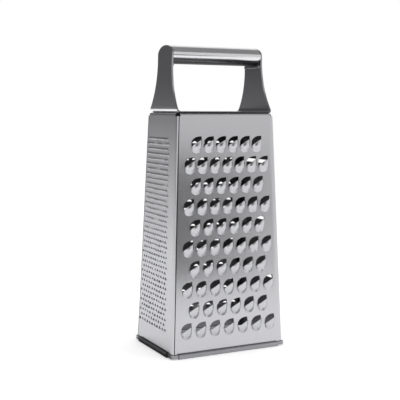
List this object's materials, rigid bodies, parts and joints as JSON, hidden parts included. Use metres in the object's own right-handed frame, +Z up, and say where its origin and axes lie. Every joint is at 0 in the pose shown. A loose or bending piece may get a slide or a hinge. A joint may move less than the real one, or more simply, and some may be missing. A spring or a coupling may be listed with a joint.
{
  "type": "box grater",
  "caption": "Four-sided stainless box grater with coarse, fine, medium and slicing faces, a rolled rim at its foot and an oval tube grip between two bent legs",
  "frame": {"origin": "middle of the foot, on the plane that the rim stands on", "axes": "+Z up the grater; the coarse face looks to -Y, the fine face to -X, the medium face to +Y and the slicing face to +X"},
  "size_m": [0.1092, 0.0768, 0.2544],
  "materials": {
    "wall_steel": "satin, brushed up and down",
    "rim_steel": "satin, brushed along the strip",
    "bracket_steel": "satin",
    "grip_steel": "fine satin along the tube"
  },
  "bodies": {
    "root": {"front_wall": "wall_steel", "left_wall": "wall_steel", "back_wall": "wall_steel", "right_wall": "wall_steel", "front_rim": "rim_steel", "left_rim": "rim_steel", "back_rim": "rim_steel", "right_rim": "rim_steel", "front_left_band": "rim_steel", "front_right_band": "rim_steel", "back_left_band": "rim_steel", "back_right_band": "rim_steel", "handle_bracket": "bracket_steel", "grip_tube": "grip_steel"}
  },
  "joints": []
}
